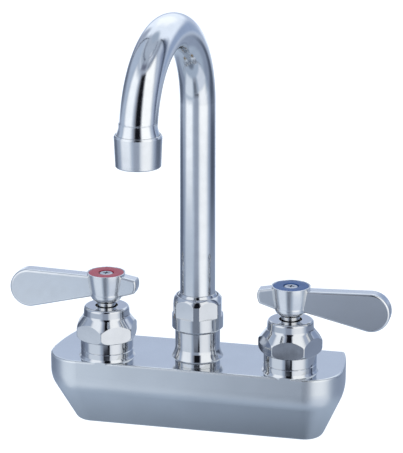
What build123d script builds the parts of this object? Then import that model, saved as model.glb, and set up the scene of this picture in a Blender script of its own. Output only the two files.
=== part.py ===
from build123d import *
import os
from math import cos, radians, sin

# Wall-mounted mixer faucet on 4 inch centres: a boat-shaped hollow casting, two quarter-turn valves
# with lever handles, and a swivelling gooseneck spout with an aerator. All sizes are in millimetres.
# +X is the user's right (cold), +Y goes into the wall, and +Z is up.
# The origin lies on the wall face, midway between the two inlets.

os.makedirs("parts", exist_ok=True)

# Clearances
running = 0.05  # radial, between a shaft and the bore it turns in
slip = 0.15  # radial, between a thread or plug and the fixed piece around it
lap = 0.05  # axial, between faces that turn on each other
free = 0.3  # between pieces that pass without touching

# Body casting
centres = 101.6
end_reach = 30.2  # half the difference between the casting's greatest length and the centres
casting_shift = 2.2  # how far the casting's middle stands towards the hot side
body_depth = 48.9
body_height = 40.9
band_height = 14.0  # upright band under the top face, above the sloping hull
front_slope = 16.4  # how far the underside stands back from the front face
end_slope = 12.0  # the same at each end
end_crest = 0.46  # where the bowed ends stand out most, as a share of the depth
end_taper_back = 3.8  # how far the bowed ends draw in at the wall
end_taper_front = 1.9  # the same at the front, before the corners are rounded
corner_radius = 19.0
foot_corner_radius = 10.0
crease_radius = 18.0
keel_radius = 3.5
rim_radius = 1.2
wall = 3.5
back_wall = 12.0
inlet_drop = 26.0  # top face down to the inlet axes
valve_reach = 33.9  # wall to the valve axes and the spout axis

# Valve towers on the casting
tower_radius = 14.37
tower_height = 10.2
tower_foot_radius = 15.3
tower_foot_height = 1.4
groove_height = 4.5
groove_width = 0.7
groove_depth = 0.35
spigot_radius = 12.2
spigot_height = 5.8
pocket_radius = 10.0
pocket_depth = 17.0
annulus_radius = 10.9
annulus_floor = 2.0  # pocket floor up to the water annulus
annulus_roof = 2.0  # top face down to the water annulus
seat_radius = 5.5
seat_thickness = 3.5
gallery_radius = 3.6
gallery_drop = 11.0

# Mixing chamber in the casting
mixing_bore_radius = 8.5
mixing_half_length = 18.0
web_thickness = 4.0  # between the mixing chamber and each supply chamber

# Inlet shanks and their fixings
shank_radius = 10.4
shank_bore_radius = 7.2
shank_reach = 38.0
shank_chamfer = 1.0
relief_width = 1.5
relief_depth = 0.8
washer_radius = 17.0
washer_thickness = 2.0
clamped_wall = 10.0  # thickness of the panel that the drawn position clamps
locknut_flats = 30.0
locknut_thickness = 8.0
locknut_corner_trim = 0.6
gasket_thickness = 1.5
gasket_margin = 4.5

# Cap nuts
cap_nut_flats = 30.0
cap_nut_corner_radius = 17.2
cap_nut_base_radius = 15.2
cap_nut_lift = 0.4  # tower shoulder up to the nut
cap_nut_height = 17.85
cap_nut_belly_low = 2.8  # the ogee's heights, above the nut's base
cap_nut_waist = 13.8
cap_nut_top_radius = 12.45
cap_nut_draft = 0.2  # how far the neck above the waist leans in
cap_nut_foot_bulge = 0.5
cap_nut_ogee_radius = 2.5
cap_nut_ogee_slope = 38.0  # steepest lean of the ogee, from upright
cap_nut_top_wall = 2.25
cap_nut_hole_radius = 6.2
cap_nut_edge_radius = 1.4
cap_nut_inner_radius = 9.0
cap_nut_turn = {"hot": -85.1, "cold": -54.0}  # direction of one corner, from +X

# Cartridges
collar_radius = 11.4
collar_thickness = 2.2
sleeve_radius = 9.8
cavity_radius = 8.6
gland_radius = 8.4
gland_height = 6.3
spindle_radius = 4.0
body_oring_height = 7.2
body_oring_floor = 8.0
seal_height = 3.5
disc_radius = 8.4
disc_thickness = 3.0
disc_hub_radius = 2.4
port_outer_radius = 6.6
port_angle = 76.0
notch_angle = 80.0
key_width = 2.0
key_radius = 9.2
window_width = 10.0
driver_thickness = 3.0
tongue_width = 3.0
tongue_length = 11.0
tongue_depth = 1.4
thrust_thickness = 0.5
quarter_turn = 90.0
stop_angle = 16.0
stop_play = 4.0  # degrees of free play at each end of the travel
stop_depth = 1.6  # how far the stop reaches in over the driver's rim
spindle_oring_heights = (4.0, 12.0)
spindle_oring_floor = 2.55
clip_thickness = 0.7
clip_radius = 5.6
clip_floor = 3.2
clip_mouth = 4.4
square_start = 25.3
square_size = 5.6

# Handles
neck_radius = 5.0
neck_base = 25.6
cup_base = 30.6
cup_bulge = 1.2
cup_shoulder_radius = 8.75
cup_shoulder_height = 36.0
cup_side_bulge = 0.2
hub_top_radius = 10.35
hub_height = 47.1
spindle_top = 38.0
socket_floor_gap = 0.3
ring_radius = 9.6
ring_hole_radius = 4.2
ring_thickness = 1.7
screw_head_radius = 3.6
screw_head_thickness = 2.5
screw_head_edge = 0.6
screw_radius = 2.0
screw_length = 16.0
screw_slot_width = 0.9
screw_slot_length = 3.6
screw_slot_depth = 1.1
blade_thickness = 8.4
blade_root = 7.0
blade_root_drop = 1.7  # hub top down to the top of the blade's root
blade_root_depth = 11.4
blade_root_width = 1.0
paddle_offset = 43.0
paddle_radius = 10.5
paddle_drop = 11.0  # hub top down to the middle of the paddle
tab_root_drop = 0.7
tab_end = 17.0
tab_end_low = 16.4  # at the foot of its rounded end
tab_end_bulge = 0.9
tab_drop = 2.6  # hub top down to the top of the tab's end
tab_depth = 7.5
blade_edge_radius = 1.3

# Spout adapter, nut and ferrule
adapter_thread_radius = 10.2
adapter_thread_length = 8.0
adapter_neck_radius = 12.3
adapter_neck_height = 2.6
bead_radius = 13.9
bead_height = 4.3
bead_bulge = 0.22
bead_top = 9.5
bead_hollow = 0.28
adapter_radius = 12.1
adapter_shoulder = 19.4
adapter_top = 30.0
adapter_bore_radius = 10.3
adapter_waterway = 7.0
nut_thread_radius = 11.6
spout_nut_base = 19.9
spout_nut_top = 38.5
spout_nut_radius = 13.8
spout_nut_edge = 1.0
spout_nut_flats = 25.4
spout_nut_flats_base = 27.7
spout_nut_dome = 3.7
spout_nut_dome_bulge = 0.33
spout_nut_mouth = 11.5
spout_nut_turn = -79.6  # direction of one corner, from +X
glide_thickness = 0.8
ferrule_flange_thickness = 2.0
ferrule_neck_radius = 10.6
ferrule_top = 38.4
ferrule_cone_height = 1.5
ferrule_foot = 2.0
ferrule_bore_radius = 6.4
ferrule_socket_depth = 16.0
spout_oring_heights = (6.0, 12.0)
spout_oring_floor = 8.45

# Gooseneck and aerator
tube_radius = 9.4
tube_wall = 1.0
bend_radius = 44.45
bend_height = 143.95
spout_turn = 5.37  # degrees that the spout stands towards the hot side
aerator_height = 16.0
aerator_rise = 2.75  # end of the bend up to the aerator's top edge
aerator_top_radius = 11.8
aerator_base_radius = 11.15
aerator_edge = 0.5
nipple_radius = 10.6
nipple_length = 9.0
bell_height = 5.5
bell_hollow = 0.2
shell_bore_radius = 10.0
shell_lip = 1.2
shell_lip_radius = 9.3
aerator_washer_thickness = 2.0
aerator_washer_bore = 7.4
screen_thickness = 0.6
screen_hole = 1.3
screen_pitch = 2.0
insert_rim = 1.4
insert_hub = 3.0
insert_vane_width = 1.0
insert_vane_count = 12

# Levels and places that follow from the sizes above
top = inlet_drop
valve_x = centres / 2
body_length = centres + 2 * end_reach
hot_end = end_taper_back - body_length / 2 - casting_shift  # the back's two ends
cold_end = body_length / 2 - end_taper_back - casting_shift
hull_top = top - band_height
hull_base = top - body_height
spout_place = (0, -valve_reach, top)
SIDES = {"hot": -1, "cold": 1}


def valve_place(side):
    """Where a valve's axis leaves the casting's top face."""
    return (SIDES[side] * valve_x, -valve_reach, top)


def upright_plane(place):
    """The plane of a half profile: its x is the radius, its y the height above place."""
    return Plane(origin=place, x_dir=(1, 0, 0), z_dir=(0, -1, 0))


def level(place, height):
    """A horizontal plane at a height above place."""
    return Plane(origin=(place[0], place[1], place[2] + height))


def turn(place, *points, mode=Mode.ADD):
    """A turned form from the corners of its half profile, about the upright axis at place."""
    with BuildSketch(upright_plane(place)) as half:
        with BuildLine():
            Polyline(*points, close=True)
        make_face()
    revolve(half.sketch, axis=Axis(place, (0, 0, 1)), mode=mode)


def tube(place, inner, outer, low, high, mode=Mode.ADD):
    """A plain turned ring between two radii and two heights."""
    turn(place, (inner, low), (outer, low), (outer, high), (inner, high), mode=mode)


def oring(place, floor, outer, height):
    """A round-section ring that fills a groove from its floor out to a radius."""
    section = (outer - floor) / 2
    with BuildSketch(upright_plane(place)) as half:
        with Locations((floor + section, height)):
            Circle(section)
    revolve(half.sketch, axis=Axis(place, (0, 0, 1)))


def groove(place, floor, outer, height):
    """Cuts the groove that such a ring lies in, a little wider than the ring."""
    half = (outer - floor) / 2 + slip
    tube(place, floor, outer + slip, height - half, height + half, Mode.SUBTRACT)


def sector(inner, outer, middle, angle, mode=Mode.ADD):
    """A ring's sector, centred on a direction."""
    with BuildLine() as edge:
        rim = CenterArc((0, 0), outer, middle - angle / 2, angle)
        root = CenterArc((0, 0), inner, middle - angle / 2, angle)
        Line(rim @ 0, root @ 0)
        Line(rim @ 1, root @ 1)
    make_face(edge.edges(), mode=mode)


def save(piece, name):
    """Labels a finished piece and writes its STEP file."""
    piece.part.label = name
    export_step(piece.part, f"parts/{name}.step")


def plan_outline(length, front, back, radius):
    """The casting seen from above, with bowed ends and its two front corners rounded."""
    crest = length / 2
    hot, cold = -casting_shift - crest, crest - casting_shift
    middle = back + (front - back) * end_crest
    with BuildLine() as edge:
        hot_back, hot_front = (hot + end_taper_back, back), (hot + end_taper_front, front)
        cold_back, cold_front = (cold - end_taper_back, back), (cold - end_taper_front, front)
        Line(hot_back, cold_back)
        ThreePointArc(cold_back, (cold, middle), cold_front)
        Line(cold_front, hot_front)
        ThreePointArc(hot_front, (hot, middle), hot_back)
    make_face(edge.edges())
    fillet(vertices().group_by(Axis.Y)[0], radius)


def hull(inset):
    """The casting's outer form, or the form that lies a wall's thickness inside it."""
    with BuildSketch(Plane.XY.offset(hull_top)) as deck:
        plan_outline(body_length - 2 * inset, inset - body_depth, -inset, corner_radius - inset)
    extrude(deck.sketch, amount=band_height - inset)
    with BuildSketch(Plane.XY.offset(hull_base + inset)) as floor:
        plan_outline(
            body_length - 2 * end_slope - 2 * inset,
            front_slope + inset - body_depth,
            -inset,
            foot_corner_radius - inset,
        )
    loft([deck.sketch, floor.sketch])


# The three water spaces low in the casting
chamber_roof = top - pocket_depth - seat_thickness
chamber_back = -back_wall
with BuildPart() as waterways:
    hull(wall)
    with BuildSketch(Plane.XY.offset(chamber_roof)):
        with Locations((0, chamber_back - body_depth / 2)):
            Rectangle(2 * mixing_half_length, body_depth)
        with Locations((-body_length / 2 - mixing_half_length - web_thickness, 0)):
            with Locations((0, chamber_back - body_depth / 2)):
                Rectangle(body_length, body_depth)
        with Locations((body_length / 2 + mixing_half_length + web_thickness, 0)):
            with Locations((0, chamber_back - body_depth / 2)):
                Rectangle(body_length, body_depth)
    extrude(amount=-body_height, mode=Mode.INTERSECT)

# Casting: hull, valve towers, pockets, galleries and bores
with BuildPart() as faucet_body:
    hull(0)
    crease = faucet_body.edges().filter_by_position(Axis.Z, hull_top - lap, hull_top + lap)
    fillet(crease.sort_by(Axis.Y)[:-1], crease_radius)
    keel = faucet_body.edges().group_by(Axis.Z)[0]
    fillet(keel.sort_by(Axis.Y)[:-1], keel_radius)
    rim = faucet_body.edges().group_by(Axis.Z)[-1]
    fillet(rim.sort_by(Axis.Y)[:-1], rim_radius)
    for side in SIDES:
        place = valve_place(side)
        with BuildPart(mode=Mode.PRIVATE) as tower:
            turn(
                place,
                (0, -band_height / 2),
                (tower_foot_radius, -band_height / 2),
                (tower_foot_radius, 0),
                (tower_radius, tower_foot_height),
                (tower_radius, groove_height - groove_width / 2),
                (tower_radius - groove_depth, groove_height),
                (tower_radius, groove_height + groove_width / 2),
                (tower_radius, tower_height),
                (spigot_radius, tower_height),
                (spigot_radius, tower_height + spigot_height),
                (0, tower_height + spigot_height),
            )
            split(bisect_by=Plane(origin=(0, -body_depth, 0), z_dir=(0, 1, 0)), keep=Keep.TOP)
        add(tower.part)
    add(waterways.part, mode=Mode.SUBTRACT)
    for side in SIDES:
        place = valve_place(side)
        tube(place, 0, pocket_radius, -pocket_depth, tower_height + spigot_height, Mode.SUBTRACT)
        tube(place, 0, annulus_radius, annulus_floor - pocket_depth, -annulus_roof, Mode.SUBTRACT)
        tube(place, 0, seat_radius, -pocket_depth - seat_thickness, -pocket_depth, Mode.SUBTRACT)
        with BuildSketch(Plane(origin=(place[0], 0, 0), z_dir=(0, -1, 0))):
            Circle(shank_radius + slip)
        extrude(amount=back_wall, mode=Mode.SUBTRACT)
    tube(spout_place, 0, adapter_thread_radius + slip, -adapter_thread_length, 0, Mode.SUBTRACT)
    tube(spout_place, 0, mixing_bore_radius, chamber_roof - top, 0, Mode.SUBTRACT)
    with BuildSketch(Plane.YZ.offset(-valve_x)):
        with Locations((-valve_reach, top - gallery_drop)):
            Circle(gallery_radius)
    extrude(amount=centres, mode=Mode.SUBTRACT)
    with BuildSketch(Plane.XZ) as gasket_outline:
        with BuildLine():
            Polyline(
                (hot_end, top),
                (cold_end, top),
                (cold_end, hull_top),
                (cold_end - end_slope, hull_base),
                (hot_end + end_slope, hull_base),
                (hot_end, hull_top),
                close=True,
            )
        make_face()
        offset(amount=-gasket_margin)
    extrude(amount=gasket_thickness, mode=Mode.SUBTRACT)
save(faucet_body, "faucet_body")

# Rubber gasket, flush in the recess of the casting's back
with BuildPart() as wall_gasket:
    with BuildSketch(Plane.XZ):
        add(gasket_outline.sketch_local)
        offset(amount=-slip, mode=Mode.REPLACE)
        with Locations((-valve_x, 0), (valve_x, 0)):
            Circle(shank_radius + slip, mode=Mode.SUBTRACT)
    extrude(amount=gasket_thickness)
save(wall_gasket, "wall_gasket")

# Inlet shanks with a washer and a locknut each
shank_root = free - back_wall
nut_seat = clamped_wall + washer_thickness
nut_back = nut_seat + locknut_thickness
for side, sign in SIDES.items():
    x = sign * valve_x
    with BuildPart() as shank:
        with BuildSketch(Plane(origin=(x, shank_root, 0), z_dir=(0, 1, 0))):
            Circle(shank_radius)
            Circle(shank_bore_radius, mode=Mode.SUBTRACT)
        extrude(amount=shank_reach - shank_root)
        chamfer(shank.edges().group_by(Axis.Y)[-1].sort_by(SortBy.RADIUS)[-1], shank_chamfer)
        with BuildSketch(Plane(origin=(x, nut_back + free, 0), z_dir=(0, 1, 0))):
            Circle(shank_radius + slip)
            Circle(shank_radius - relief_depth, mode=Mode.SUBTRACT)
        extrude(amount=relief_width, mode=Mode.SUBTRACT)
    save(shank, f"{side}_shank")

    with BuildPart() as washer:
        with BuildSketch(Plane(origin=(x, clamped_wall, 0), z_dir=(0, 1, 0))):
            Circle(washer_radius)
            Circle(shank_radius + slip, mode=Mode.SUBTRACT)
        extrude(amount=washer_thickness)
    save(washer, f"{side}_shank_washer")

    with BuildPart() as locknut:
        with BuildSketch(Plane(origin=(x, nut_seat, 0), z_dir=(0, 1, 0))):
            RegularPolygon(locknut_flats / 2, 6, major_radius=False)
            Circle(shank_radius + slip, mode=Mode.SUBTRACT)
        extrude(amount=locknut_thickness)
        fillet(locknut.edges().filter_by(Axis.Y).sort_by_distance((x, 0, 0))[-6:], locknut_corner_trim)
    save(locknut, f"{side}_locknut")

# Heights in a valve, above the casting's top face
spigot_top = tower_height + spigot_height
collar_top = spigot_top + collar_thickness
gland_top = collar_top + gland_height
seat = -pocket_depth
fixed_base = seat + seal_height
fixed_top = fixed_base + disc_thickness
moving_base = fixed_top + lap
moving_top = moving_base + disc_thickness
driver_top = moving_top + driver_thickness
thrust_base = driver_top + lap
cavity_top = thrust_base + thrust_thickness + lap
cap_base = tower_height + cap_nut_lift
cap_top = cap_base + cap_nut_height
ogee_lean = radians(cap_nut_ogee_slope)
ogee_bends = 2 * cap_nut_ogee_radius * (1 - cos(ogee_lean))
ogee_cone_length = (cap_nut_corner_radius - cap_nut_top_radius - ogee_bends) / sin(ogee_lean)
clip_base = gland_top + lap
ring_base = hub_height - ring_thickness
blade_root_high = hub_height - blade_root_drop
blade_root_low = blade_root_high - blade_root_depth
paddle_height = hub_height - paddle_drop
tab_root_high = hub_height - tab_root_drop
tab_high = hub_height - tab_drop
tab_low = tab_high - tab_depth
head_base = ring_base - (screw_head_thickness - ring_thickness) - free
spindle_bore = spindle_radius + running
driver_radius = disc_radius - free

for side, sign in SIDES.items():
    place = valve_place(side)
    axis = Axis(place, (0, 0, 1))
    stop_direction = 90 + sign * 90  # the stop faces away from the lever

    # Cap nut: an ogee turned above a hexagon, screwed down on the tower
    with BuildPart() as cap_nut:
        with BuildSketch(upright_plane(place)):
            with BuildLine():
                foot = (cap_nut_base_radius, cap_base)
                belly_low = (cap_nut_corner_radius, cap_base + cap_nut_belly_low)
                waist = (cap_nut_top_radius, cap_base + cap_nut_waist)
                crown = (cap_nut_top_radius - cap_nut_draft, cap_top)
                Line((0, cap_base), foot)
                SagittaArc(foot, belly_low, -cap_nut_foot_bulge)
                hollow = JernArc(waist, (0, -1), cap_nut_ogee_radius, cap_nut_ogee_slope)
                cone = PolarLine(hollow @ 1, ogee_cone_length, direction=hollow % 1)
                bulge = JernArc(cone @ 1, cone % 1, cap_nut_ogee_radius, -cap_nut_ogee_slope)
                Line(bulge @ 1, belly_low)
                Polyline(waist, crown, (0, cap_top), (0, cap_base))
            make_face()
        revolve(axis=axis)
        with BuildSketch(level(place, cap_base)):
            RegularPolygon(cap_nut_flats / 2, 6, major_radius=False, rotation=cap_nut_turn[side])
        extrude(amount=cap_nut_height, mode=Mode.INTERSECT)
        fillet(cap_nut.edges().group_by(Axis.Z)[-1], cap_nut_edge_radius)
        tube(place, 0, spigot_radius + slip, cap_base, collar_top, Mode.SUBTRACT)
        tube(place, 0, cap_nut_inner_radius, collar_top, cap_top - cap_nut_top_wall, Mode.SUBTRACT)
        tube(place, 0, cap_nut_hole_radius, collar_top, cap_top, Mode.SUBTRACT)
    save(cap_nut, f"{side}_cap_nut")

    # Cartridge body: collar, sleeve with side windows, disc cavity and spindle gland
    with BuildPart() as cartridge:
        turn(
            place,
            (0, seat + free),
            (sleeve_radius, seat + free),
            (sleeve_radius, spigot_top),
            (collar_radius, spigot_top),
            (collar_radius, collar_top),
            (gland_radius, collar_top),
            (gland_radius, gland_top),
            (0, gland_top),
        )
        groove(place, body_oring_floor, pocket_radius, body_oring_height)
        tube(place, 0, cavity_radius, seat + free, cavity_top, Mode.SUBTRACT)
        tube(place, 0, spindle_bore, cavity_top, gland_top, Mode.SUBTRACT)
        with BuildSketch(level(place, moving_base)):
            Rectangle(window_width, 2 * sleeve_radius + free)
        extrude(amount=disc_thickness, mode=Mode.SUBTRACT)
        with BuildSketch(level(place, seat + free)):
            Rectangle(2 * sleeve_radius + free, key_width + slip)
        extrude(amount=fixed_top - seat - free, mode=Mode.SUBTRACT)
        with BuildSketch(level(place, moving_top)):
            sector(disc_radius - stop_depth, cavity_radius + slip, stop_direction, stop_angle)
        extrude(amount=driver_thickness)
    save(cartridge, f"{side}_cartridge_body")

    with BuildPart() as cartridge_oring:
        oring(place, body_oring_floor, pocket_radius, body_oring_height)
    save(cartridge_oring, f"{side}_cartridge_oring")

    with BuildPart() as seat_seal:
        tube(place, seat_radius, disc_radius, seat, fixed_base)
    save(seat_seal, f"{side}_seat_seal")

    # Fixed ceramic disc: two ports, and keys that hold it in the cartridge
    with BuildPart() as fixed_disc:
        with BuildSketch(level(place, fixed_base)):
            Circle(disc_radius)
            Rectangle(2 * key_radius, key_width)
            for direction in (90, 270):
                sector(disc_hub_radius, port_outer_radius, direction, port_angle, Mode.SUBTRACT)
        extrude(amount=disc_thickness)
    save(fixed_disc, f"{side}_fixed_disc")

    with BuildPart() as thrust_washer:
        tube(place, spindle_bore, driver_radius, thrust_base, thrust_base + thrust_thickness)
    save(thrust_washer, f"{side}_thrust_washer")

    # Moving ceramic disc: notched at both sides, with a slot for the spindle's tongue
    with BuildPart() as moving_disc:
        with BuildSketch(level(place, moving_base)):
            Circle(driver_radius)
            for direction in (0, 180):
                sector(disc_hub_radius, disc_radius, direction, notch_angle, Mode.SUBTRACT)
        extrude(amount=disc_thickness)
        with BuildSketch(level(place, moving_top)):
            Rectangle(tongue_width + 2 * slip, tongue_length + 2 * slip)
        extrude(amount=-tongue_depth - slip, mode=Mode.SUBTRACT)
    save(moving_disc, f"{side}_moving_disc")

    # Spindle: driver with its stop notch, shaft with seal grooves, square top with a tapped hole
    with BuildPart() as spindle:
        tube(place, 0, driver_radius, moving_top, driver_top)
        tube(place, 0, spindle_radius, driver_top, square_start)
        with BuildSketch(level(place, square_start)):
            Rectangle(square_size, square_size)
        extrude(amount=spindle_top - square_start)
        with BuildSketch(level(place, moving_top)):
            Rectangle(tongue_width, tongue_length)
        extrude(amount=-tongue_depth)
        with BuildSketch(level(place, moving_top)):
            notch_root = disc_radius - stop_depth - free
            swing = quarter_turn + stop_angle + 2 * stop_play
            sector(notch_root, disc_radius, stop_direction + sign * quarter_turn / 2, swing)
        extrude(amount=driver_thickness, mode=Mode.SUBTRACT)
        for height in spindle_oring_heights:
            groove(place, spindle_oring_floor, spindle_radius, height)
        clip_top = clip_base + clip_thickness
        tube(place, clip_floor, spindle_radius + slip, clip_base, clip_top, Mode.SUBTRACT)
        tube(place, 0, screw_radius + slip, head_base - screw_length - free, spindle_top, Mode.SUBTRACT)
    save(spindle, f"{side}_spindle")

    with BuildPart() as spindle_orings:
        for height in spindle_oring_heights:
            oring(place, spindle_oring_floor, spindle_radius + running / 2, height)
    save(spindle_orings, f"{side}_spindle_orings")

    with BuildPart() as spindle_clip:
        with BuildSketch(level(place, clip_base)):
            Circle(clip_radius)
            Circle(clip_floor, mode=Mode.SUBTRACT)
            with Locations((0, -clip_radius / 2)):
                Rectangle(clip_mouth, clip_radius, mode=Mode.SUBTRACT)
        extrude(amount=clip_thickness)
    save(spindle_clip, f"{side}_spindle_clip")

    # Handle: cup-shaped hub, lever blade with a round paddle, and a short tab opposite
    with BuildPart() as handle:
        with BuildSketch(upright_plane(place)):
            with Locations((sign * paddle_offset, paddle_height)):
                Circle(paddle_radius)
            with Locations((sign * blade_root, (blade_root_low + blade_root_high) / 2)):
                Rectangle(blade_root_width, blade_root_high - blade_root_low)
            make_hull()
        extrude(amount=blade_thickness / 2, both=True)
        with BuildSketch(upright_plane(place)):
            with BuildLine():
                tab_corner = (-sign * tab_end, tab_high)
                tab_foot = (-sign * tab_end_low, tab_low)
                tab_root = (-sign * blade_root, tab_root_high)
                Polyline(tab_foot, (-sign * blade_root, blade_root_low), tab_root, tab_corner)
                SagittaArc(tab_corner, tab_foot, -sign * tab_end_bulge)
            make_face()
        extrude(amount=blade_thickness / 2, both=True)
        edge_faces = handle.faces().filter_by(Axis.Y)
        fillet(edge_faces.edges(), blade_edge_radius)
        with BuildSketch(upright_plane(place)):
            with BuildLine():
                cup_foot = (neck_radius, cup_base)
                cup_shoulder = (cup_shoulder_radius, cup_shoulder_height)
                cup_rim = (hub_top_radius, hub_height)
                Polyline((0, hub_height), (0, neck_base), (neck_radius, neck_base), cup_foot)
                SagittaArc(cup_foot, cup_shoulder, -cup_bulge)
                SagittaArc(cup_shoulder, cup_rim, -cup_side_bulge)
                Line(cup_rim, (0, hub_height))
            make_face()
        revolve(axis=axis)
        tube(place, 0, ring_radius + running, ring_base, hub_height, Mode.SUBTRACT)
        tube(place, 0, ring_hole_radius, head_base, hub_height, Mode.SUBTRACT)
        tube(place, 0, screw_radius + slip, spindle_top, head_base, Mode.SUBTRACT)
        with BuildSketch(level(place, neck_base)):
            Rectangle(square_size + 2 * slip, square_size + 2 * slip)
        extrude(amount=spindle_top + socket_floor_gap - neck_base, mode=Mode.SUBTRACT)
    save(handle, f"{side}_handle")

    with BuildPart() as index_ring:
        tube(place, ring_hole_radius, ring_radius, ring_base, hub_height - running)
    save(index_ring, f"{side}_index_ring")

    with BuildPart() as handle_screw:
        tube(place, 0, screw_head_radius, head_base, head_base + screw_head_thickness)
        fillet(handle_screw.edges().group_by(Axis.Z)[-1], screw_head_edge)
        tube(place, 0, screw_radius, head_base - screw_length, head_base)
        with BuildSketch(level(place, head_base + screw_head_thickness)):
            Rectangle(screw_slot_length, screw_slot_width)
            Rectangle(screw_slot_width, screw_slot_length)
        extrude(amount=-screw_slot_depth, mode=Mode.SUBTRACT)
    save(handle_screw, f"{side}_handle_screw")

# Spout adapter, screwed into the middle of the casting
adapter_floor = ferrule_foot - free
with BuildPart() as spout_adapter:
    with BuildSketch(upright_plane(spout_place)):
        with BuildLine():
            neck = (adapter_neck_radius, adapter_neck_height)
            bead = (bead_radius, bead_height)
            column = (adapter_radius, bead_top)
            Polyline(
                (0, -adapter_thread_length),
                (adapter_thread_radius, -adapter_thread_length),
                (adapter_thread_radius, 0),
                (adapter_neck_radius, 0),
                neck,
            )
            SagittaArc(neck, bead, -bead_bulge)
            SagittaArc(bead, column, bead_hollow)
            Polyline(
                column,
                (adapter_radius, adapter_shoulder),
                (nut_thread_radius, adapter_shoulder),
                (nut_thread_radius, adapter_top),
                (0, adapter_top),
                (0, -adapter_thread_length),
            )
        make_face()
    revolve(axis=Axis(spout_place, (0, 0, 1)))
    tube(spout_place, 0, adapter_waterway, -adapter_thread_length, adapter_floor, Mode.SUBTRACT)
    tube(spout_place, 0, adapter_bore_radius, adapter_floor, adapter_top, Mode.SUBTRACT)
save(spout_adapter, "spout_adapter")

# Heights in the swivel joint
glide_top = adapter_top + glide_thickness
flange_base = glide_top + lap
flange_top = flange_base + ferrule_flange_thickness
lip_base = flange_top + lap
flange_radius = nut_thread_radius - lap
lip_radius = ferrule_neck_radius + free

with BuildPart() as glide_washer:
    tube(spout_place, adapter_bore_radius, nut_thread_radius, adapter_top, glide_top)
save(glide_washer, "glide_washer")

# Spout nut: turned, domed, with six flats milled on its upper part
with BuildPart() as spout_nut:
    with BuildSketch(upright_plane(spout_place)):
        with BuildLine():
            dome_base = (spout_nut_radius, spout_nut_top - spout_nut_dome)
            dome_top = (spout_nut_mouth, spout_nut_top)
            Polyline(
                dome_top,
                (0, spout_nut_top),
                (0, spout_nut_base),
                (spout_nut_radius - spout_nut_edge, spout_nut_base),
                (spout_nut_radius, spout_nut_base + spout_nut_edge),
                dome_base,
            )
            SagittaArc(dome_base, dome_top, -spout_nut_dome_bulge)
        make_face()
    revolve(axis=Axis(spout_place, (0, 0, 1)))
    with BuildSketch(level(spout_place, spout_nut_flats_base)):
        Circle(spout_nut_radius + slip)
        RegularPolygon(
            spout_nut_flats / 2,
            6,
            major_radius=False,
            rotation=spout_nut_turn,
            mode=Mode.SUBTRACT,
        )
    extrude(amount=spout_nut_top - spout_nut_flats_base, mode=Mode.SUBTRACT)
    tube(spout_place, 0, nut_thread_radius + slip, spout_nut_base, lip_base, Mode.SUBTRACT)
    tube(spout_place, 0, lip_radius, lip_base, spout_nut_top, Mode.SUBTRACT)
save(spout_nut, "spout_nut")

# Ferrule brazed to the gooseneck: it turns in the adapter and is held by the nut
with BuildPart() as spout_ferrule:
    stem_radius = adapter_bore_radius - running
    turn(
        spout_place,
        (ferrule_bore_radius, ferrule_foot),
        (stem_radius, ferrule_foot),
        (stem_radius, flange_base),
        (flange_radius, flange_base),
        (flange_radius, flange_top),
        (ferrule_neck_radius, flange_top),
        (ferrule_neck_radius, ferrule_top),
        (tube_radius + slip, ferrule_top + ferrule_cone_height),
        (tube_radius + slip, ferrule_top - ferrule_socket_depth),
        (ferrule_bore_radius, ferrule_top - ferrule_socket_depth),
    )
    for height in spout_oring_heights:
        groove(spout_place, spout_oring_floor, stem_radius, height)
save(spout_ferrule, "spout_ferrule")

with BuildPart() as spout_orings:
    for height in spout_oring_heights:
        oring(spout_place, spout_oring_floor, adapter_bore_radius - running / 2, height)
save(spout_orings, "spout_orings")

# Gooseneck: an upright leg, a half-circle bend, and a swaged nipple for the aerator
ahead = Vector(-sin(radians(spout_turn)), -cos(radians(spout_turn)), 0)
tube_foot = ferrule_top - ferrule_socket_depth
outlet_place = tuple(Vector(*spout_place) + ahead * (2 * bend_radius))
nipple_top = bend_height + aerator_rise
aerator_base = nipple_top - aerator_height
nipple_base = nipple_top - nipple_length
with BuildPart() as spout_tube:
    with BuildLine(Plane(origin=spout_place, x_dir=ahead, z_dir=ahead.cross(Vector(0, 0, 1)))) as route:
        leg = Line((0, tube_foot), (0, bend_height))
        bend = CenterArc((bend_radius, bend_height), bend_radius, 180, -180)
    with BuildSketch(level(spout_place, tube_foot)):
        Circle(tube_radius)
    sweep(path=route.wire())
    with BuildSketch(upright_plane(outlet_place)):
        with BuildLine():
            bell_mouth = (nipple_radius, nipple_top)
            bell_neck = (tube_radius, nipple_top + bell_height)
            Polyline(
                bell_neck,
                (0, nipple_top + bell_height),
                (0, nipple_base),
                (nipple_radius, nipple_base),
                bell_mouth,
            )
            SagittaArc(bell_mouth, bell_neck, bell_hollow)
        make_face()
    revolve(axis=Axis(outlet_place, (0, 0, 1)))
    with BuildSketch(level(spout_place, tube_foot)):
        Circle(tube_radius - tube_wall)
    sweep(path=route.wire(), mode=Mode.SUBTRACT)
    tube(outlet_place, 0, tube_radius - tube_wall, nipple_base, bend_height, Mode.SUBTRACT)
save(spout_tube, "spout_tube")

# Aerator: a threaded shell that holds a washer, a screen and a vaned insert
insert_base = aerator_base + shell_lip
screen_top = nipple_base - aerator_washer_thickness
screen_base = screen_top - screen_thickness
with BuildPart() as aerator_shell:
    turn(
        outlet_place,
        (shell_lip_radius, aerator_base),
        (aerator_base_radius - aerator_edge, aerator_base),
        (aerator_base_radius, aerator_base + aerator_edge),
        (aerator_top_radius, nipple_top - 2 * aerator_edge),
        (aerator_top_radius - aerator_edge, nipple_top),
        (nipple_radius + slip, nipple_top),
        (nipple_radius + slip, screen_top),
        (shell_bore_radius, screen_top),
        (shell_bore_radius, insert_base),
        (shell_lip_radius, insert_base),
    )
save(aerator_shell, "aerator_shell")

with BuildPart() as aerator_washer:
    tube(outlet_place, aerator_washer_bore, nipple_radius, screen_top, nipple_base)
save(aerator_washer, "aerator_washer")

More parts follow.
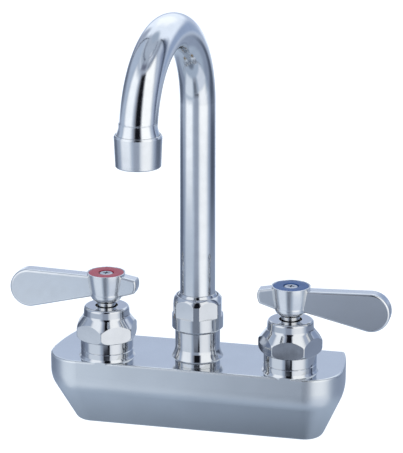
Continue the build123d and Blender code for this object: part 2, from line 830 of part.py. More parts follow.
screen_radius = shell_bore_radius - slip
with BuildPart() as aerator_screen:
    with BuildSketch(level(outlet_place, screen_base)):
        Circle(screen_radius)
        reach = int(screen_radius / screen_pitch)
        spots = [
            (column * screen_pitch, row * screen_pitch)
            for column in range(-reach, reach + 1)
            for row in range(-reach, reach + 1)
        ]
        with Locations([spot for spot in spots if Vector(*spot).length < screen_radius - screen_pitch]):
            Rectangle(screen_hole, screen_hole, mode=Mode.SUBTRACT)
    extrude(amount=screen_thickness)
save(aerator_screen, "aerator_screen")

with BuildPart() as aerator_insert:
    tube(outlet_place, screen_radius - insert_rim, screen_radius, insert_base, screen_base)
    tube(outlet_place, 0, insert_hub, insert_base, screen_base)
    with BuildSketch(level(outlet_place, insert_base)):
        with PolarLocations((screen_radius - insert_rim + insert_hub) / 2, insert_vane_count):
            Rectangle(screen_radius - insert_rim - insert_hub + insert_vane_width, insert_vane_width)
    extrude(amount=screen_base - insert_base)
save(aerator_insert, "aerator_insert")
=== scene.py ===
from math import cos, pi, radians, sin, tan

import bmesh
import bpy
from bpy.props import FloatProperty, FloatVectorProperty, IntProperty, PointerProperty
from mathutils import Matrix, Vector


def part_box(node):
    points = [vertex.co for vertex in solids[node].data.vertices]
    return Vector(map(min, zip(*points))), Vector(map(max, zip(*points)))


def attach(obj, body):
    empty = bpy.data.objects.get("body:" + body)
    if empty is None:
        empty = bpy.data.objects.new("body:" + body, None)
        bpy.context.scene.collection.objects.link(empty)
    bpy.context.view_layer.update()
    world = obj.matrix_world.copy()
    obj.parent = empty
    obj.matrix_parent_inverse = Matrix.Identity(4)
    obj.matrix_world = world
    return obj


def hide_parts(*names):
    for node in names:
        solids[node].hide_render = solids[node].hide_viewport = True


bl_info = {
    "name": "Wall mixer faucet",
    "version": (1, 0, 0),
    "blender": (4, 5, 0),
    "location": "3D View > Sidebar > Faucet",
    "description": "Dresses the packed solids of a wall-mounted gooseneck mixer faucet",
    "category": "Object",
}

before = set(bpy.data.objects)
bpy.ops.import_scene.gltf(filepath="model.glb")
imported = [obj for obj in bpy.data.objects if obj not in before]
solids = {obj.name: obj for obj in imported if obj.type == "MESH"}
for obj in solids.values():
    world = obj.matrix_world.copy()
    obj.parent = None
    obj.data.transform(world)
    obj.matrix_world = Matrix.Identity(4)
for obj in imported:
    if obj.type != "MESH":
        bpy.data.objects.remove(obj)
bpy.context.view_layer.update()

MM = 0.001
SIDES = ("hot", "cold")
LYING = Matrix.Rotation(-pi / 2, 4, "X")  # turns +Z to +Y, into the wall

# Sizes of the solids that their boxes don't tell
DECK = 26 * MM  # height of the casting's top face
SHANK_BORE = 7.2 * MM  # radius of the inlet shanks' waterway
LOCKNUT_BORE = 10.55 * MM  # radius of the locknuts' hole
RING_HOLE = 4.2 * MM  # radius of the hole in the index rings

# The casting's plating
TOWER_FOOT = (DECK + 0.1 * MM, DECK + 0.35 * MM)  # heights where matt gives way to buffed
PAINTED_SHADE_HEIGHTS = (DECK - 13 * MM, DECK - 44 * MM)  # heights between which a painted shade darkens the casting towards its foot
BUFFED, GROUND = 0.055, 0.13  # roughness of what is buffed, and of the ground deck

# How finely pieces are made
SHARP_EDGE = radians(35)  # edges that turn by more stay crisp
WELD_REACH = 1e-6  # corners nearer than this become one, in metres
CUT_REACH = 1e-7  # a cut uses a corner that is nearer than this, in metres

# The camera, as fitted to the photograph
CAMERA_YAW, CAMERA_PITCH, CAMERA_ROLL = radians(13.330), radians(16.203), radians(0.039)
CAMERA_AIM = Vector((0.00210, -0.0339, 0.10234))
LENS_MM, SENSOR_MM = 158.94, 36.0

# The studio
LAMP_PLACE, LAMP_AIM = Vector((-0.55, -0.9, 0.95)), Vector((0, -0.03, 0.1))
LAMP_SIZE, LAMP_WATTS = (0.9, 0.6), 5.0
FLOOR_REACH = 6.0  # half the floor's width
FLOOR_GLOW = 0.72  # what the camera sees beside the floor's own light, to make it near white
TENT_MIDDLE = Vector((0, -0.034, 0.10))


def linear(code):
    """A colour written as sRGB hex, in the linear values that shaders take."""
    shares = [int(code[i:i + 2], 16) / 255 for i in (1, 3, 5)]
    return [s / 12.92 if s <= 0.04045 else ((s + 0.055) / 1.055) ** 2.4 for s in shares]


def whole(code):
    """The same colour with full opacity."""
    return (*linear(code), 1.0)


class FAUCET_PG_finishes(bpy.types.PropertyGroup):
    """Colours and polish of the faucet's surfaces."""

    chrome: FloatVectorProperty(
        name="Chrome", description="Colour of the plating on the tube, the handles and the aerator",
        subtype="COLOR", default=linear("#DADBDC"), min=0, max=1)
    turned: FloatVectorProperty(
        name="Turned chrome", description="Colour of the plating on nuts, collars and valve towers",
        subtype="COLOR", default=linear("#CBCCCE"), min=0, max=1)
    satin: FloatVectorProperty(
        name="Satin chrome", description="Colour of the casting's matt plating", subtype="COLOR",
        default=linear("#D8DADB"), min=0, max=1)
    satin_roughness: FloatProperty(
        name="Satin roughness", description="How matt the casting's plating is", subtype="FACTOR",
        default=0.32, min=0, max=1)
    hot: FloatVectorProperty(
        name="Hot ring", description="Colour of the hot side's index ring", subtype="COLOR",
        default=linear("#A62A44"), min=0, max=1)
    cold: FloatVectorProperty(
        name="Cold ring", description="Colour of the cold side's index ring", subtype="COLOR",
        default=linear("#164E90"), min=0, max=1)


class FAUCET_PG_details(bpy.types.PropertyGroup):
    """Sizes of the details that the solids leave out."""

    thread_pitch: FloatProperty(
        name="Thread pitch", description="Pitch of the inlet shanks' pipe thread", unit="LENGTH",
        default=1.814 * MM, min=0.5 * MM, max=3 * MM)
    thread_depth: FloatProperty(
        name="Thread depth", description="Crest to root of that thread", unit="LENGTH",
        default=1.0 * MM, min=0.2 * MM, max=1.5 * MM)
    nut_chamfer: FloatProperty(
        name="Nut chamfer", description="How far the locknuts' corners are turned off",
        unit="LENGTH", default=0.9 * MM, min=0, max=2 * MM)
    ring_edge: FloatProperty(
        name="Ring edge", description="Rounding of the index rings' edges", unit="LENGTH",
        default=0.3 * MM, min=0.05 * MM, max=0.8 * MM)
    edge_softness: FloatProperty(
        name="Edge softness", description="Radius of the plated pieces' buffed edges",
        unit="LENGTH", default=0.35 * MM, min=0, max=1 * MM)
    turning_steps: IntProperty(
        name="Turning steps", description="Facets round a turned piece",
        default=96, min=24, max=256)


class FAUCET_PG_studio(bpy.types.PropertyGroup):
    """The plain studio that the faucet is shown in."""

    daylight: FloatProperty(
        name="Daylight", description="Strength of the white surroundings on matt surfaces",
        default=0.75, min=0, max=2)
    floor_drop: FloatProperty(
        name="Floor drop", description="How far the floor lies under the inlet axes", unit="LENGTH",
        default=0.55, min=0.1, max=2)
    tent_radius: FloatProperty(
        name="Tent radius", description="Radius of the light tent that the chrome mirrors",
        unit="LENGTH", default=0.75, min=0.3, max=3)
    tent_glow: FloatProperty(
        name="Tent glow", description="Brightness of the softboxes in the chrome",
        default=1.45, min=0, max=3)
    camera_reach: FloatProperty(
        name="Camera reach", description="Distance from the camera to the faucet", unit="LENGTH",
        default=1.0605, min=0.5, max=3)


def put(tree, kind, inputs=None, **settings):
    """Adds one shader node with its settings, and sets or links its inputs."""
    node = tree.nodes.new(kind)
    for name, value in settings.items():
        setattr(node, name, value)
    for name, value in (inputs or {}).items():
        if isinstance(value, bpy.types.NodeSocket):
            tree.links.new(value, node.inputs[name])
        else:
            node.inputs[name].default_value = value
    return node


def new_material(name):
    """An empty node material, its tree and the piece's own coordinates."""
    material = bpy.data.materials.new(name)
    material.use_nodes = True
    tree = material.node_tree
    tree.nodes.clear()
    return material, tree, put(tree, "ShaderNodeTexCoord").outputs["Object"]


def surfaced(material, inputs):
    """The same material, ended in the shader of its surface."""
    tree = material.node_tree
    shader = put(tree, "ShaderNodeBsdfPrincipled", inputs)
    put(tree, "ShaderNodeOutputMaterial", {"Surface": shader.outputs["BSDF"]})
    return material


def grain(tree, place, length, detail=2.0, stretch=(1, 1, 1)):
    """Noise with features of a length in millimetres, finer along the axes that are stretched."""
    spread = put(tree, "ShaderNodeMapping", {"Vector": place, "Scale": stretch})
    noise = put(tree, "ShaderNodeTexNoise", {
        "Vector": spread.outputs["Vector"], "Scale": 1 / (length * MM), "Detail": detail})
    return noise.outputs["Fac"]


def between(tree, noise, low, high):
    """Spreads a noise, which lies mostly from 0.35 to 0.65, over the values from low to high."""
    spread = put(tree, "ShaderNodeMapRange", {
        "Value": noise, "From Min": 0.35, "From Max": 0.65, "To Min": low, "To Max": high})
    return spread.outputs["Result"]


def clouded(tree, noise, colour, depth):
    """A colour that drifts to a shade of it which is so much darker."""
    darker = [value * (1 - depth) for value in colour]
    return put(tree, "ShaderNodeMix", {
        "Factor": between(tree, noise, 0.0, 1.0), "A": (*colour, 1.0), "B": (*darker, 1.0)},
        data_type="RGBA").outputs[2]


def soft_edge(tree, value, start, end, most=1.0):
    """The soft border of an area: goes from 0 to the most as a value goes from start to end."""
    return put(tree, "ShaderNodeMapRange", {
        "Value": value, "From Min": start, "From Max": end, "To Max": most},
        interpolation_type="SMOOTHSTEP").outputs["Result"]


def polished_chrome(name, colour, softness, roughness):
    """Bright nickel-chrome plate, buffed before plating: a mirror with faint polishing haze,
    a slow roll from the buffing wheel, and edges softened by it. What was drawn or cast and
    less buffed before plating is rougher, so its reflections have softer borders."""
    material, tree, place = new_material(name)
    haze = grain(tree, place, 6.0, 4.0)
    lines = grain(tree, place, 0.5, 2.0, (1, 1, 0.15))  # coarser than real buffing lines, to show
    rough = put(tree, "ShaderNodeMath", {
        0: between(tree, haze, roughness - 0.02, roughness + 0.02),
        1: between(tree, lines, 0.0, 0.02)}, operation="ADD")
    roll = grain(tree, place, 14.0, 1.0)
    rounded = put(tree, "ShaderNodeBevel", {"Radius": softness}, samples=6)
    waves = put(tree, "ShaderNodeBump", {
        "Height": roll, "Strength": 0.12, "Distance": 0.4 * MM,
        "Normal": rounded.outputs["Normal"]})
    return surfaced(material, {
        "Base Color": clouded(tree, haze, colour, 0.05), "Metallic": 1.0,
        "Roughness": rough.outputs["Value"], "Normal": waves.outputs["Normal"]})


def satin_chrome(name, colour, roughness, bright):
    """Chrome plate on a bead-blasted casting: reflections blur to broad soft bands, with a fine
    even grain and the slow unevenness of a sand-cast wall, and a painted shade that darkens it
    towards the foot, for the dark ground close by that it mirrors. The level deck is ground
    smoother, and above it the valve towers are turned and buffed, so they mirror as sharply as the
    nuts."""
    material, tree, place = new_material(name)
    height = put(tree, "ShaderNodeSeparateXYZ", {"Vector": place}).outputs["Z"]
    buffed = put(tree, "ShaderNodeMapRange", {
        "Value": height, "From Min": TOWER_FOOT[0], "From Max": TOWER_FOOT[1]}).outputs["Result"]

    def by_height(wall, tower):
        """A value of the blasted walls that gives way to the one of the buffed towers."""
        return put(tree, "ShaderNodeMix", {"Factor": buffed, "A": wall, "B": tower}).outputs[0]

    facing = put(tree, "ShaderNodeTexCoord").outputs["Normal"]
    upward = put(tree, "ShaderNodeSeparateXYZ", {"Vector": facing}).outputs["Z"]
    level = soft_edge(tree, upward, 0.85, 0.98)  # 1 where a face looks straight up
    blast = grain(tree, place, 0.35)  # real pits are under 0.1 mm; these are coarser, to show
    cast = grain(tree, place, 26.0)
    uneven = put(tree, "ShaderNodeBump", {
        "Height": cast, "Strength": by_height(0.22, 0.04), "Distance": 0.5 * MM})
    pitted = put(tree, "ShaderNodeBump", {
        "Height": blast, "Strength": by_height(0.05, 0.0), "Distance": 0.02 * MM,
        "Normal": uneven.outputs["Normal"]})
    # painted shade: mixes up to 0.32 black into the casting's clouded colour towards its foot, for
    # the dark ground that it mirrors
    cast_tone_and_painted_shade = put(tree, "ShaderNodeMix", {
        "Factor": soft_edge(tree, height, *PAINTED_SHADE_HEIGHTS, most=0.32),
        "A": clouded(tree, cast, colour, 0.05), "B": (0.0, 0.0, 0.0, 1.0)}, data_type="RGBA")
    plated = put(tree, "ShaderNodeMix", {
        "Factor": buffed, "A": cast_tone_and_painted_shade.outputs[2], "B": (*bright, 1.0)}, data_type="RGBA")
    blasted = between(tree, blast, roughness - 0.02, roughness + 0.02)
    matt = put(tree, "ShaderNodeMix", {"Factor": level, "A": blasted, "B": GROUND})
    return surfaced(material, {
        "Base Color": plated.outputs[2], "Metallic": 1.0,
        "Roughness": by_height(matt.outputs[0], BUFFED), "Normal": pitted.outputs["Normal"]})


def machined(name, code, roughness):
    """Bare machined metal: fine tool marks that streak its sheen, and a slightly dulled skin."""
    material, tree, place = new_material(name)
    marks = grain(tree, place, 0.4, 3.0, (1, 1, 6))  # under 0.1 mm apart along Z, as real ones
    stain = grain(tree, place, 8.0, 3.0)
    cut = put(tree, "ShaderNodeBump", {"Height": marks, "Strength": 0.15, "Distance": 0.05 * MM})
    return surfaced(material, {
        "Base Color": clouded(tree, stain, linear(code), 0.16), "Metallic": 1.0,
        "Roughness": between(tree, marks, roughness - 0.08, roughness + 0.08),
        "Normal": cut.outputs["Normal"]})


def moulded(name, colour, roughness, texture, depth):
    """Moulded plastic, rubber or pressed ceramic: one body colour with faint clouding,
    under a skin whose texture is that of its mould."""
    material, tree, place = new_material(name)
    skin = grain(tree, place, texture)  # coarser than a real skin, to show
    cloud = grain(tree, place, 5.0, 3.0)
    pores = put(tree, "ShaderNodeBump", {"Height": skin, "Strength": depth, "Distance": 0.05 * MM})
    return surfaced(material, {
        "Base Color": clouded(tree, cloud, colour, 0.10),
        "Roughness": between(tree, skin, roughness - 0.05, roughness + 0.05),
        "Normal": pores.outputs["Normal"]})


def finish_of(name):
    """The material of that finish, made when it is first asked for."""
    if name in bpy.data.materials:
        return bpy.data.materials[name]
    finishes = bpy.context.scene.faucet_finishes
    softness = bpy.context.scene.faucet_details.edge_softness
    if name == "polished_chrome_plate":  # turned brass, buffed and plated: the crispest mirror
        return polished_chrome(name, finishes.turned, softness, BUFFED)
    if name == "drawn_chrome_plate":  # bent tube: long reflections that flow over its joins
        return polished_chrome(name, finishes.chrome, 5 * softness, roughness=0.08)
    if name == "cast_chrome_plate":  # small castings: a soft mirror that only hints at the room
        return polished_chrome(name, finishes.chrome, softness, roughness=0.18)
    if name == "satin_chrome_plate":  # the blasted casting: broad soft bands of grey
        return satin_chrome(name, finishes.satin, finishes.satin_roughness, finishes.turned)
    if name == "red_acetal":  # moulded plastic: an even colour with a low sheen
        return moulded(name, finishes.hot, roughness=0.42, texture=0.5, depth=0.10)
    if name == "blue_acetal":
        return moulded(name, finishes.cold, roughness=0.42, texture=0.5, depth=0.10)
    if name == "turned_brass":  # unplated: warm yellow, streaked by the tool
        return machined(name, "#C9A45C", roughness=0.30)
    if name == "stainless_steel":  # stamped and tumbled: a grey sheen
        return machined(name, "#C3C5C8", roughness=0.26)
    if name == "bright_steel":  # rolled screws: the same grey, with sharper glints
        return machined(name, "#C3C5C8", roughness=0.14)
    if name == "nitrile_rubber":  # moulded: near black and dull
        return moulded(name, linear("#1B1C1E"), roughness=0.62, texture=0.4, depth=0.25)
    if name == "white_acetal":  # moulded plastic: off-white with a low sheen
        return moulded(name, linear("#E4E4DF"), roughness=0.45, texture=0.5, depth=0.10)
    if name == "alumina_ceramic":  # pressed, fired and lapped: warm white, smooth and glossy
        return moulded(name, linear("#EDEDE8"), roughness=0.22, texture=0.8, depth=0.03)
    raise ValueError("no finish is named " + name)


def dress(node, finish):
    """Gives a solid from the frame its finish."""
    mesh = solids[node].data
    mesh.materials.clear()
    mesh.materials.append(finish_of(finish))


def new_object(name, bm, material):
    """Turns finished geometry into an object of one material in the scene."""
    mesh = bpy.data.meshes.new(name)
    bm.to_mesh(mesh)
    bm.free()
    mesh.materials.append(material)
    made = bpy.data.objects.new(name, mesh)
    bpy.context.scene.collection.objects.link(made)
    return made


def add_piece(name, bm, finish, body, node):
    """Turns finished geometry into a piece that stands for a node and rides on its body."""
    bmesh.ops.recalc_face_normals(bm, faces=bm.faces)
    piece = new_object(name, bm, finish_of(finish))
    mesh = piece.data
    mesh.polygons.foreach_set("use_smooth", [True] * len(mesh.polygons))
    mesh.set_sharp_from_angle(angle=SHARP_EDGE)
    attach(piece, body)
    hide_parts(node)
    return piece


def lathe(section, steps):
    """A closed form turned about Z, from its section's radii and heights in metres."""
    bm = bmesh.new()
    corners = [bm.verts.new((radius, 0, height)) for radius, height in section]
    edges = [bm.edges.new((corners[i - 1], corners[i])) for i in range(len(corners))]
    bmesh.ops.spin(
        bm, geom=corners + edges, cent=(0, 0, 0), axis=(0, 0, 1), angle=2 * pi,
        steps=steps, use_merge=True, use_duplicate=False)
    bmesh.ops.recalc_face_normals(bm, faces=bm.faces)
    return bm


def cut_off(bm, place, away):
    """Takes off what lies beyond a plane, and gives the edges of the cut."""
    cut = bmesh.ops.bisect_plane(
        bm, geom=bm.verts[:] + bm.edges[:] + bm.faces[:], plane_co=place, plane_no=away,
        clear_outer=True, dist=CUT_REACH)
    return [part for part in cut["geom_cut"] if isinstance(part, bmesh.types.BMEdge)]


def mill_flats(bm, across):
    """Cuts six flats, parallel to Z, so many metres apart."""
    for i in range(6):
        away = Vector((cos(i * pi / 3), sin(i * pi / 3), 0))
        bmesh.ops.edgenet_fill(bm, edges=cut_off(bm, away * across / 2, away))


def lay_into_wall(bm, x, y, z):
    """Lays a form that stands on Z down into the wall, with its foot at a place."""
    bmesh.ops.transform(bm, matrix=Matrix.Translation((x, y, z)) @ LYING, verts=bm.verts)


class FAUCET_OT_casting(bpy.types.Operator):
    """Finishes the casting and the gasket in its back"""

    bl_idname = "faucet.casting"
    bl_label = "Casting"

    def execute(self, context):
        dress("faucet_body", "satin_chrome_plate")
        dress("wall_gasket", "nitrile_rubber")
        return {"FINISHED"}


class FAUCET_OT_inlet_fixings(bpy.types.Operator):
    """Makes the threaded inlet shanks and their locknuts, and finishes the washers"""

    bl_idname = "faucet.inlet_fixings"
    bl_label = "Inlet fixings"

    def execute(self, context):
        details = context.scene.faucet_details
        for side in SIDES:
            self.make_shank(f"{side}_shank", details)
            self.make_locknut(f"{side}_locknut", details)
            dress(f"{side}_shank_washer", "stainless_steel")
        return {"FINISHED"}

    def make_shank(self, node, details):
        """Winds the thread's rib up past both ends, cuts it to length and bores it."""
        low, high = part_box(node)
        middle, length = (low + high) / 2, high.y - low.y
        crest = (high.x - low.x) / 2
        root = crest - details.thread_depth
        pitch, steps = details.thread_pitch, details.turning_steps // 2
        turns = int(length / pitch) + 2
        bm = bmesh.new()
        # the rib's radii, and how far along the pitch it has them
        section = (
            (root, 0.0), (root, 0.12), (crest, 0.42), (crest, 0.58), (root, 0.88), (root, 1.0))
        rib = [bm.verts.new((radius, 0, share * pitch - pitch)) for radius, share in section]
        edges = [bm.edges.new(pair) for pair in zip(rib, rib[1:])]
        bmesh.ops.spin(
            bm, geom=rib + edges, cent=(0, 0, 0), axis=(0, 0, 1), dvec=(0, 0, pitch / steps),
            angle=2 * pi * turns, steps=steps * turns, use_merge=False, use_duplicate=False)
        bmesh.ops.remove_doubles(bm, verts=bm.verts, dist=WELD_REACH)
        for height, way in ((0.0, -1), (length, 1)):
            outer = cut_off(bm, (0, 0, height), (0, 0, way))
            inner = bmesh.ops.create_circle(
                bm, segments=steps, radius=SHANK_BORE, matrix=Matrix.Translation((0, 0, height)))
            ring = {edge for corner in inner["verts"] for edge in corner.link_edges}
            bmesh.ops.triangle_fill(bm, edges=outer + list(ring), use_beauty=True)
        bmesh.ops.bridge_loops(bm, edges=[edge for edge in bm.edges if edge.is_boundary])
        lay_into_wall(bm, middle.x, low.y, middle.z)
        add_piece(node + "_threaded", bm, "turned_brass", "faucet", node)

    def make_locknut(self, node, details):
        """Turns a bored disc with chamfered edges, and mills its flats."""
        low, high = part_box(node)
        middle, thick = (low + high) / 2, high.y - low.y
        across, corner = high.x - low.x, (high.z - low.z) / 2
        bore, bevel = LOCKNUT_BORE, details.nut_chamfer
        rise = bevel * tan(pi / 6)  # the corners' chamfer is at 30 degrees
        bm = lathe((
            (bore + bevel / 2, 0), (corner - bevel, 0), (corner, rise), (corner, thick - rise),
            (corner - bevel, thick), (bore + bevel / 2, thick), (bore, thick - bevel / 2),
            (bore, bevel / 2)), details.turning_steps)
        mill_flats(bm, across)
        lay_into_wall(bm, middle.x, low.y, middle.z)
        add_piece(node + "_milled", bm, "turned_brass", "faucet", node)


class FAUCET_OT_valves(bpy.types.Operator):
    """Finishes the cap nuts and the cartridges under them"""

    bl_idname = "faucet.valves"
    bl_label = "Valves"

    finishes = {
        "cap_nut": "polished_chrome_plate",
        "cartridge_body": "turned_brass",
        "cartridge_oring": "nitrile_rubber",
        "seat_seal": "nitrile_rubber",
        "fixed_disc": "alumina_ceramic",
        "moving_disc": "alumina_ceramic",
        "thrust_washer": "white_acetal",
        "spindle": "turned_brass",
        "spindle_orings": "nitrile_rubber",
        "spindle_clip": "stainless_steel",
    }

    def execute(self, context):
        for side in SIDES:
            for node, finish in self.finishes.items():
                dress(f"{side}_{node}", finish)
        return {"FINISHED"}


class FAUCET_OT_handles(bpy.types.Operator):
    """Finishes the lever handles and their screws"""

    bl_idname = "faucet.handles"
    bl_label = "Handles"

    def execute(self, context):
        for side in SIDES:
            dress(f"{side}_handle", "cast_chrome_plate")
            dress(f"{side}_handle_screw", "bright_steel")
        return {"FINISHED"}


class FAUCET_OT_index_rings(bpy.types.Operator):
    """Makes the coloured index rings in the tops of the handles"""

    bl_idname = "faucet.index_rings"
    bl_label = "Index rings"

    def execute(self, context):
        details = context.scene.faucet_details
        for side, finish, slot in (
                ("hot", "red_acetal", "red_plastic"), ("cold", "blue_acetal", "blue_plastic")):
            low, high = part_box(f"{side}_index_ring")
            middle, outer, thick = (low + high) / 2, (high.x - low.x) / 2, high.z - low.z
            edge, quarter = details.ring_edge, [i * pi / 8 for i in range(5)]
            rounding = [(edge * (1 - cos(a)), thick - edge * (1 - sin(a))) for a in quarter]
            section = [(RING_HOLE, 0), (outer, 0)]
            section += [(outer - inset, height) for inset, height in rounding]
            section += [(RING_HOLE + inset, height) for inset, height in reversed(rounding)]
            bm = lathe(section, details.turning_steps)
            bmesh.ops.translate(bm, vec=(middle.x, middle.y, low.z), verts=bm.verts)
            ring = add_piece(
                f"{side}_index_ring_moulded", bm, finish, f"{side}_handle",
                f"{side}_index_ring")
            ring.visible_glossy = False  # so small that its mirror images are only specks
        return {"FINISHED"}


class FAUCET_OT_spout(bpy.types.Operator):
    """Finishes the spout's joint, gooseneck and aerator"""

    bl_idname = "faucet.spout"
    bl_label = "Spout"

    finishes = {
        "spout_adapter": "polished_chrome_plate",
        "spout_nut": "polished_chrome_plate",
        "spout_ferrule": "polished_chrome_plate",
        "spout_tube": "drawn_chrome_plate",
        "aerator_shell": "cast_chrome_plate",
        "glide_washer": "white_acetal",
        "spout_orings": "nitrile_rubber",
        "aerator_washer": "nitrile_rubber",
        "aerator_screen": "stainless_steel",
        "aerator_insert": "white_acetal",
    }

    def execute(self, context):
        for node, finish in self.finishes.items():
            dress(node, finish)
        return {"FINISHED"}


class FAUCET_OT_stage(bpy.types.Operator):
    """Makes the camera, the white surroundings, the lamp, the floor and the light tent"""

    bl_idname = "faucet.stage"
    bl_label = "Stage"

    # name, from and to in degrees round the tent (0 is its front, plus is to the right) and the
    # fade there, from and to in degrees over the horizon and the fade there, colour; each area
    # covers the ones before it
    areas = (
        ("back_top", (150, 215, 16), (30, 66, 12), "#F4FAFF"),
        ("back_band", (132, 228, 20), (0, 26, 10), "#A9B5CB"),
        ("crown_cloth", None, (68, 90, 8), "#9AA8BB"),
        ("front_cloth", (-132, 122, 12), (-20, 66, 8), "#A0ACBF"),
        ("left_softbox", (-74, -12, 18), (-20, 60, 12), "#F0F6FD"),
        ("floor_cloth", None, (-90, -12, 8), "#98A6B9"),
        ("nadir", None, (-90, -72, 13), "#677282"),
        ("floor_right", (22, 98, 16), (-62, -24, 10), "#C5CEDC"),
        ("floor_left", (-82, -10, 16), (-62, -15, 10), "#C9D3E0"),
        ("left_sill", (-70, -16, 14), (-29, -20, 4), "#CCD6E2"),
        ("right_softbox", (12, 88, 34), (-33, 62, 8), "#ECF0F5"),
        ("right_softbox_top", (16, 90, 24), (-12, 62, 8), "#FAFDFF"),
        ("ceiling", (-145, 130, 22), (60, 90, 6), "#A0ABBC"),
        ("right_lamp", (28, 66, 10), (64, 76, 4), "#CFD7E6"),
        ("right_rim", (24, 114, 6), (55, 66, 4), "#808A9B"),
        ("left_wall", (-122, -64, 24), (-8, 66, 6), "#A4B2C7"),
        ("left_wall_foot", (-130, -88, 20), (-6, 34, 24), "#757E92"),
        ("left_back", (-144, -120, 12), (-4, 56, 12), "#959FB3"),
        ("left_back_foot", (-150, -100, 14), (-6, 26, 10), "#6C7689"),
        ("left_table", (-155, -66, 24), (-46, -4, 12), "#7C889D"),
        ("left_table_edge", (-140, -90, 16), (-28, -3, 8), "#566072"),
        ("left_seam", (-122, -118, 2), (2, 70, 3), "#353D4C"),
        ("right_wall", (80, 124, 16), (-10, 58, 6), "#AEB9CC"),
        ("right_wall_end", (94, 128, 14), (-14, 50, 16), "#7B87A0"),
        ("right_haze", (107, 121, 6), (-12, 60, 12), "#66728A"),
        ("right_seam", (111, 117, 2), (-4, 66, 3), "#353D4C"),
        ("right_back", (116, 172, 16), (-14, 32, 18), "#8B9BB7"),
        ("right_table", (86, 186, 14), (-42, 2, 14), "#828EA3"),
        ("right_table_edge", (98, 156, 18), (-20, -2, 8), "#4C5566"),
        ("gap_floor", (-14, 25, 12), (-62, -14, 8), "#8B94A3"),
        ("gap_floor_core", (-12, 14, 10), (-52, -24, 6), "#666F7D"),
        ("gap_waist", (-12, 23, 10), (-21, 4, 4), "#8F99AA"),
        ("gap_sill", (-12, 26, 10), (-24.5, -19, 2), "#767F8E"),
        ("gap_edge", (-7, 24, 5), (-26, -23.6, 1), "#0C0E14"),
        ("gap_edge_right", (14, 25, 3), (-26, -22.7, 1), "#0C0E14"),
        ("gap_frame", (-14, 32, 7), (0, 60, 4), "#808693"),
        ("gap", (-6, 27, 6), (1, 58, 3), "#12141A"),
        ("gap_top", (-32, 26, 10), (58, 70, 5), "#646A7D"),
        ("left_arch", (-118, -6, 8), (69.5, 73, 1.2), "#464F60"),
        ("right_arch", (20, 112, 8), (69, 72, 1.2), "#464F60"),
    )

    def execute(self, context):
        scene, studio = context.scene, context.scene.faucet_studio
        self.place_camera(scene, studio)
        self.whiten_world(scene, studio)
        self.hang_lamp(scene)
        self.lay_floor(studio)
        self.pitch_tent(studio)
        scene.view_settings.view_transform = "Standard"
        return {"FINISHED"}

    def place_camera(self, scene, studio):
        """Looks at the faucet as the photograph does."""
        yaw, pitch, roll = CAMERA_YAW, CAMERA_PITCH, CAMERA_ROLL
        back = Vector((sin(yaw) * cos(pitch), -cos(yaw) * cos(pitch), sin(pitch)))
        right = Vector((cos(yaw), sin(yaw), 0))
        up = right.cross(-back)
        right, up = cos(roll) * right + sin(roll) * up, cos(roll) * up - sin(roll) * right
        lens = bpy.data.cameras.new("camera")
        lens.sensor_width = SENSOR_MM
        lens.lens = LENS_MM
        camera = bpy.data.objects.new("camera", lens)
        turned = Matrix((right, up, back)).transposed().to_4x4()
        camera.matrix_world = Matrix.Translation(CAMERA_AIM + back * studio.camera_reach) @ turned
        scene.collection.objects.link(camera)
        scene.camera = camera

    def whiten_world(self, scene, studio):
        """Makes surroundings that look white, but light matt surfaces no more than they should."""
        world = bpy.data.worlds.new("white_surroundings")
        world.use_nodes = True
        tree = world.node_tree
        tree.nodes.clear()
        path = put(tree, "ShaderNodeLightPath").outputs
        seen = put(tree, "ShaderNodeMath", {
            0: path["Is Camera Ray"], 1: path["Is Glossy Ray"]}, operation="MAXIMUM")
        through = put(tree, "ShaderNodeMath", {
            0: seen.outputs["Value"], 1: path["Is Transmission Ray"]}, operation="MAXIMUM")
        plain = put(tree, "ShaderNodeBackground", {
            "Color": whole("#F4F7FC"), "Strength": studio.daylight})
        white = put(tree, "ShaderNodeBackground", {"Color": whole("#FFFFFF"), "Strength": 1.0})
        mixed = put(tree, "ShaderNodeMixShader", {
            0: through.outputs["Value"], 1: plain.outputs["Background"],
            2: white.outputs["Background"]})
        put(tree, "ShaderNodeOutputWorld", {"Surface": mixed.outputs["Shader"]})
        scene.world = world

    def hang_lamp(self, scene):
        """Hangs the key lamp high on the left. The chrome mirrors the tent, and not the lamp."""
        lamp = bpy.data.lights.new("key_lamp", "AREA")
        lamp.shape, lamp.energy = "RECTANGLE", LAMP_WATTS
        lamp.size, lamp.size_y = LAMP_SIZE
        key = bpy.data.objects.new("key_lamp", lamp)
        key.location = LAMP_PLACE
        key.rotation_euler = (LAMP_AIM - LAMP_PLACE).to_track_quat("-Z", "Y").to_euler()
        key.visible_glossy = False
        scene.collection.objects.link(key)

    def lay_floor(self, studio):
        """Lays a pale floor for the faucet's shadow. The chrome mirrors the tent in its place."""
        material, tree, place = new_material("pale_floor")
        speckle = grain(tree, place, 3.0)
        shader = put(tree, "ShaderNodeBsdfPrincipled", {
            "Base Color": clouded(tree, speckle, linear("#C3CEDD"), 0.03), "Roughness": 0.9})
        lit = put(tree, "ShaderNodeEmission", {"Color": whole("#FFFFFF"), "Strength": FLOOR_GLOW})
        both = put(tree, "ShaderNodeAddShader", {
            0: shader.outputs["BSDF"], 1: lit.outputs["Emission"]})
        path = put(tree, "ShaderNodeLightPath").outputs
        seen = put(tree, "ShaderNodeMixShader", {
            0: path["Is Camera Ray"], 1: shader.outputs["BSDF"], 2: both.outputs["Shader"]})
        put(tree, "ShaderNodeOutputMaterial", {"Surface": seen.outputs["Shader"]})
        bm = bmesh.new()
        bmesh.ops.create_grid(
            bm, x_segments=1, y_segments=1, size=FLOOR_REACH,
            matrix=Matrix.Translation((0, 0, -studio.floor_drop)))
        floor = new_object("floor", bm, material)
        floor.visible_glossy = False

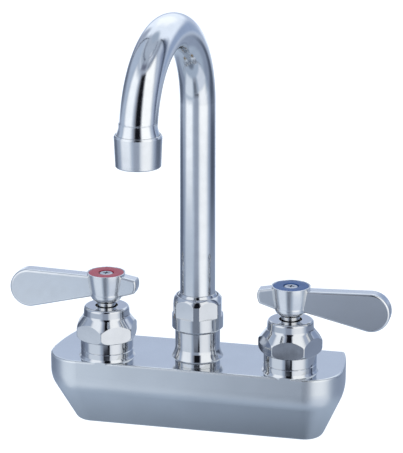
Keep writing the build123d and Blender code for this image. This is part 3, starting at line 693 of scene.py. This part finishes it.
    def pitch_tent(self, studio):
        """A round light tent that only reflections see: cloth with its seams and arches, two
        softboxes, the gap between them for the camera, and the dark edges of the table."""
        material, tree, place = new_material("tent_cloth")
        ray = put(tree, "ShaderNodeVectorMath", {0: place}, operation="NORMALIZE").outputs[0]
        height = put(tree, "ShaderNodeSeparateXYZ", {"Vector": ray}).outputs["Z"]
        flat = put(tree, "ShaderNodeVectorMath", {0: ray, 1: (1, 1, 0)}, operation="MULTIPLY")
        bearing = put(
            tree, "ShaderNodeVectorMath", {0: flat.outputs[0]}, operation="NORMALIZE").outputs[0]
        seen = whole("#DEE8F6")
        for name, around, up, code in self.areas:
            share = self.share_inside(tree, height, bearing, around, up)
            seen = put(tree, "ShaderNodeMix", {
                "Factor": share, "A": seen, "B": whole(code)}, data_type="RGBA",
                label=name).outputs[2]
        glow = put(tree, "ShaderNodeEmission", {"Color": seen, "Strength": studio.tent_glow})
        put(tree, "ShaderNodeOutputMaterial", {"Surface": glow.outputs["Emission"]})
        bm = bmesh.new()
        bmesh.ops.create_uvsphere(bm, u_segments=64, v_segments=32, radius=studio.tent_radius)
        tent = new_object("light_tent", bm, material)
        tent.location = TENT_MIDDLE
        for kind in ("camera", "diffuse", "transmission", "volume_scatter", "shadow"):
            setattr(tent, "visible_" + kind, False)

    def share_inside(self, tree, height, bearing, around, up):
        """How far a point of the cloth lies inside an area: 0 outside it, 1 past its fades."""
        low, high, fade = (radians(angle) for angle in up)
        edges = []
        if up[0] > -90:
            edges.append(soft_edge(tree, height, sin(low), sin(low + fade)))
        if up[1] < 90:
            edges.append(soft_edge(tree, height, sin(high), sin(high - fade)))
        if around:
            left, right, fade = (radians(angle) for angle in around)
            middle, half = (left + right) / 2, (right - left) / 2
            turned = put(tree, "ShaderNodeVectorMath", {
                0: bearing, 1: (sin(middle), -cos(middle), 0)}, operation="DOT_PRODUCT")
            edges.append(soft_edge(
                tree, turned.outputs["Value"], cos(half), cos(max(half - fade, 0))))
        share = edges[0]
        for edge in edges[1:]:
            both = put(tree, "ShaderNodeMath", {0: share, 1: edge}, operation="MULTIPLY")
            share = both.outputs["Value"]
        return share


GROUPS = {
    "faucet_finishes": FAUCET_PG_finishes,
    "faucet_details": FAUCET_PG_details,
    "faucet_studio": FAUCET_PG_studio,
}
STEPS = (
    FAUCET_OT_stage, FAUCET_OT_casting, FAUCET_OT_inlet_fixings, FAUCET_OT_valves,
    FAUCET_OT_handles, FAUCET_OT_index_rings, FAUCET_OT_spout,
)


class FAUCET_PT_panel(bpy.types.Panel):
    """Lists the faucet's settings and the steps that dress it"""

    bl_idname = "FAUCET_PT_panel"
    bl_label = "Wall mixer faucet"
    bl_space_type = "VIEW_3D"
    bl_region_type = "UI"
    bl_category = "Faucet"

    def draw(self, context):
        for name in GROUPS:
            group, box = getattr(context.scene, name), self.layout.box()
            for setting in group.__annotations__:
                box.prop(group, setting)
        for operator in STEPS:
            self.layout.operator(operator.bl_idname)


CLASSES = (*GROUPS.values(), *STEPS, FAUCET_PT_panel)


def register():
    """Adds the classes to Blender and the settings to its scenes."""
    for kind in CLASSES:
        bpy.utils.register_class(kind)
    for name, group in GROUPS.items():
        setattr(bpy.types.Scene, name, PointerProperty(type=group))


def unregister():
    """Takes the settings and the classes away again."""
    for name in GROUPS:
        delattr(bpy.types.Scene, name)
    for kind in reversed(CLASSES):
        bpy.utils.unregister_class(kind)


def main():
    """Makes the whole scene."""
    register()
    bpy.ops.faucet.stage()
    bpy.ops.faucet.casting()
    bpy.ops.faucet.inlet_fixings()
    bpy.ops.faucet.valves()
    bpy.ops.faucet.handles()
    bpy.ops.faucet.index_rings()
    bpy.ops.faucet.spout()


if __name__ == "__main__":
    main()
